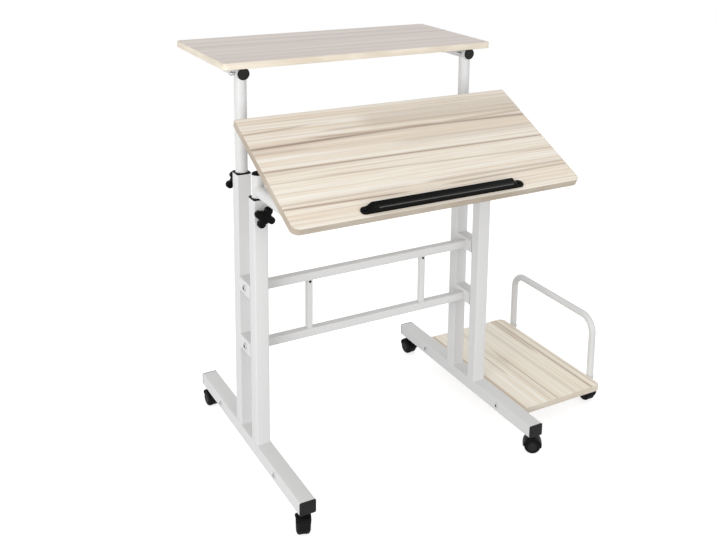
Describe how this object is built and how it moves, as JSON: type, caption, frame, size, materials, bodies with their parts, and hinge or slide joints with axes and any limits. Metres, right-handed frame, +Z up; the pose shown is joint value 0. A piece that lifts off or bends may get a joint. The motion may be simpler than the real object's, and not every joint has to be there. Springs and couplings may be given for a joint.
{
  "type": "height-adjustable desk",
  "caption": "Mobile sit-stand desk on casters with a raised rear deck, a tilting front deck on telescopic legs, and a low side shelf with a guard hoop.",
  "frame": {"origin": "on the floor, under the middle of the box round the desk at rest", "axes": "+X to the user's right, where the side shelf is, +Y from the user to the back, +Z up"},
  "size_m": [0.9496, 0.7033, 0.9575],
  "materials": {
    "white_steel": "satin white powder coat",
    "laminate": "pale streaked wood-grain laminate",
    "black_plastic": "fine-grained black",
    "black_gloss": "smooth black",
    "tread": "black moulded wheel"
  },
  "bodies": {
    "base": {"foot_left": "white_steel", "strut_left": "white_steel", "foot_plug_front_left": "black_plastic", "post_front_left": "white_steel", "collar_front_left": "black_plastic", "foot_plug_rear_left": "black_plastic", "post_rear_left": "white_steel", "collar_rear_left": "black_plastic", "tie_lower_left": "white_steel", "tie_upper_left": "white_steel", "foot_right": "white_steel", "strut_right": "white_steel", "foot_plug_front_right": "black_plastic", "post_front_right": "white_steel", "collar_front_right": "black_plastic", "foot_plug_rear_right": "black_plastic", "post_rear_right": "white_steel", "collar_rear_right": "black_plastic", "tie_lower_right": "white_steel", "tie_upper_right": "white_steel", "rail_lower": "white_steel", "rail_upper": "white_steel", "shelf_board": "laminate", "shelf_hoop": "white_steel"},
    "upper_deck": {"upper_board": "laminate", "inner_tube_rear_left": "white_steel", "upper_arm_left": "white_steel", "arm_plug_left": "black_plastic", "inner_tube_rear_right": "white_steel", "upper_arm_right": "white_steel", "arm_plug_right": "black_plastic"},
    "lower_lift": {"inner_tube_front_left": "white_steel", "tube_dome_left": "black_plastic", "lower_arm_left": "white_steel", "inner_tube_front_right": "white_steel", "tube_dome_right": "black_plastic", "lower_arm_right": "white_steel"},
    "tilt_table": {"lower_board": "laminate", "pen_stop": "black_gloss", "tilt_quadrant_left": "white_steel", "tilt_quadrant_right": "white_steel"},
    "star_knob_front_left": {"star_knob_front_left": "black_plastic"},
    "star_knob_rear_left": {"star_knob_rear_left": "black_plastic"},
    "lock_knob_left": {"lock_knob_left": "black_plastic"},
    "star_knob_front_right": {"star_knob_front_right": "black_plastic"},
    "star_knob_rear_right": {"star_knob_rear_right": "black_plastic"},
    "lock_knob_right": {"lock_knob_right": "black_plastic"},
    "caster_front_left_fork": {"caster_front_left_body": "black_plastic"},
    "caster_front_left_wheel": {"caster_front_left_wheels": "tread"},
    "caster_front_right_fork": {"caster_front_right_body": "black_plastic"},
    "caster_front_right_wheel": {"caster_front_right_wheels": "tread"},
    "caster_rear_left_fork": {"caster_rear_left_body": "black_plastic"},
    "caster_rear_left_wheel": {"caster_rear_left_wheels": "tread"},
    "caster_rear_right_fork": {"caster_rear_right_body": "black_plastic"},
    "caster_rear_right_wheel": {"caster_rear_right_wheels": "tread"},
    "caster_shelf_front_fork": {"caster_shelf_front_body": "black_plastic"},
    "caster_shelf_front_wheel": {"caster_shelf_front_wheels": "tread"},
    "caster_shelf_rear_fork": {"caster_shelf_rear_body": "black_plastic"},
    "caster_shelf_rear_wheel": {"caster_shelf_rear_wheels": "tread"}
  },
  "joints": [
    {"name": "upper_deck_lift", "type": "slide", "parent": "base", "child": "upper_deck", "axis": [0, 0, 1], "range_m": [-0.205, 0.17]},
    {"name": "lower_deck_lift", "type": "slide", "parent": "base", "child": "lower_lift", "axis": [0, 0, 1], "range_m": [0, 0.22]},
    {"name": "lower_deck_tilt", "type": "hinge", "parent": "lower_lift", "child": "tilt_table", "pos_m": [-0.1248, -0.23453, 0.7315], "axis": [1, 0, 0], "range_deg": [-25.1, 19.9]},
    {"name": "star_knob_front_left_turn", "type": "hinge", "parent": "base", "child": "star_knob_front_left", "pos_m": [-0.4228, -0.05988, 0.634], "axis": [0, -1, 0], "range_deg": [0, 480]},
    {"name": "star_knob_rear_left_turn", "type": "hinge", "parent": "base", "child": "star_knob_rear_left", "pos_m": [-0.4228, 0.07162, 0.666], "axis": [0, 1, 0], "range_deg": [0, 480]},
    {"name": "lock_knob_left_turn", "type": "hinge", "parent": "lower_lift", "child": "lock_knob_left", "pos_m": [-0.4058, -0.13413, 0.72254], "axis": [1, 0, 0], "range_deg": [0, 450]},
    {"name": "star_knob_front_right_turn", "type": "hinge", "parent": "base", "child": "star_knob_front_right", "pos_m": [0.1732, -0.05988, 0.634], "axis": [0, -1, 0], "range_deg": [0, 480]},
    {"name": "star_knob_rear_right_turn", "type": "hinge", "parent": "base", "child": "star_knob_rear_right", "pos_m": [0.1732, 0.07162, 0.666], "axis": [0, 1, 0], "range_deg": [0, 480]},
    {"name": "lock_knob_right_turn", "type": "hinge", "parent": "lower_lift", "child": "lock_knob_right", "pos_m": [0.1562, -0.13413, 0.72254], "axis": [-1, 0, 0], "range_deg": [0, 450]},
    {"name": "caster_front_left_swivel", "type": "hinge", "parent": "base", "child": "caster_front_left_fork", "pos_m": [-0.4228, -0.27563, 0], "axis": [0, 0, 1], "continuous": true},
    {"name": "caster_front_left_roll", "type": "hinge", "parent": "caster_front_left_fork", "child": "caster_front_left_wheel", "pos_m": [-0.42588, -0.28409, 0.02], "axis": [0.9397, -0.342, 0], "continuous": true},
    {"name": "caster_front_right_swivel", "type": "hinge", "parent": "base", "child": "caster_front_right_fork", "pos_m": [0.1732, -0.27563, 0], "axis": [0, 0, 1], "continuous": true},
    {"name": "caster_front_right_roll", "type": "hinge", "parent": "caster_front_right_fork", "child": "caster_front_right_wheel", "pos_m": [0.18057, -0.28079, 0.02], "axis": [0.5736, 0.8192, 0], "continuous": true},
    {"name": "caster_rear_left_swivel", "type": "hinge", "parent": "base", "child": "caster_rear_left_fork", "pos_m": [-0.4228, 0.28737, 0], "axis": [0, 0, 1], "continuous": true},
    {"name": "caster_rear_left_roll", "type": "hinge", "parent": "caster_rear_left_fork", "child": "caster_rear_left_wheel", "pos_m": [-0.42358, 0.29634, 0.02], "axis": [-0.9962, -0.0872, 0], "continuous": true},
    {"name": "caster_rear_right_swivel", "type": "hinge", "parent": "base", "child": "caster_rear_right_fork", "pos_m": [0.1732, 0.28737, 0], "axis": [0, 0, 1], "continuous": true},
    {"name": "caster_rear_right_roll", "type": "hinge", "parent": "caster_rear_right_fork", "child": "caster_rear_right_wheel", "pos_m": [0.1721, 0.2963, 0.02], "axis": [-0.9925, -0.1219, 0], "continuous": true},
    {"name": "caster_shelf_front_swivel", "type": "hinge", "parent": "base", "child": "caster_shelf_front_fork", "pos_m": [0.4578, -0.16473, 0], "axis": [0, 0, 1], "continuous": true},
    {"name": "caster_shelf_front_roll", "type": "hinge", "parent": "caster_shelf_front_fork", "child": "caster_shelf_front_wheel", "pos_m": [0.4578, -0.15573, 0.02], "axis": [-1, 0, 0], "continuous": true},
    {"name": "caster_shelf_rear_swivel", "type": "hinge", "parent": "base", "child": "caster_shelf_rear_fork", "pos_m": [0.4578, 0.17647, 0], "axis": [0, 0, 1], "continuous": true},
    {"name": "caster_shelf_rear_roll", "type": "hinge", "parent": "caster_shelf_rear_fork", "child": "caster_shelf_rear_wheel", "pos_m": [0.4578, 0.18547, 0.02], "axis": [-1, 0, 0], "continuous": true}
  ]
}
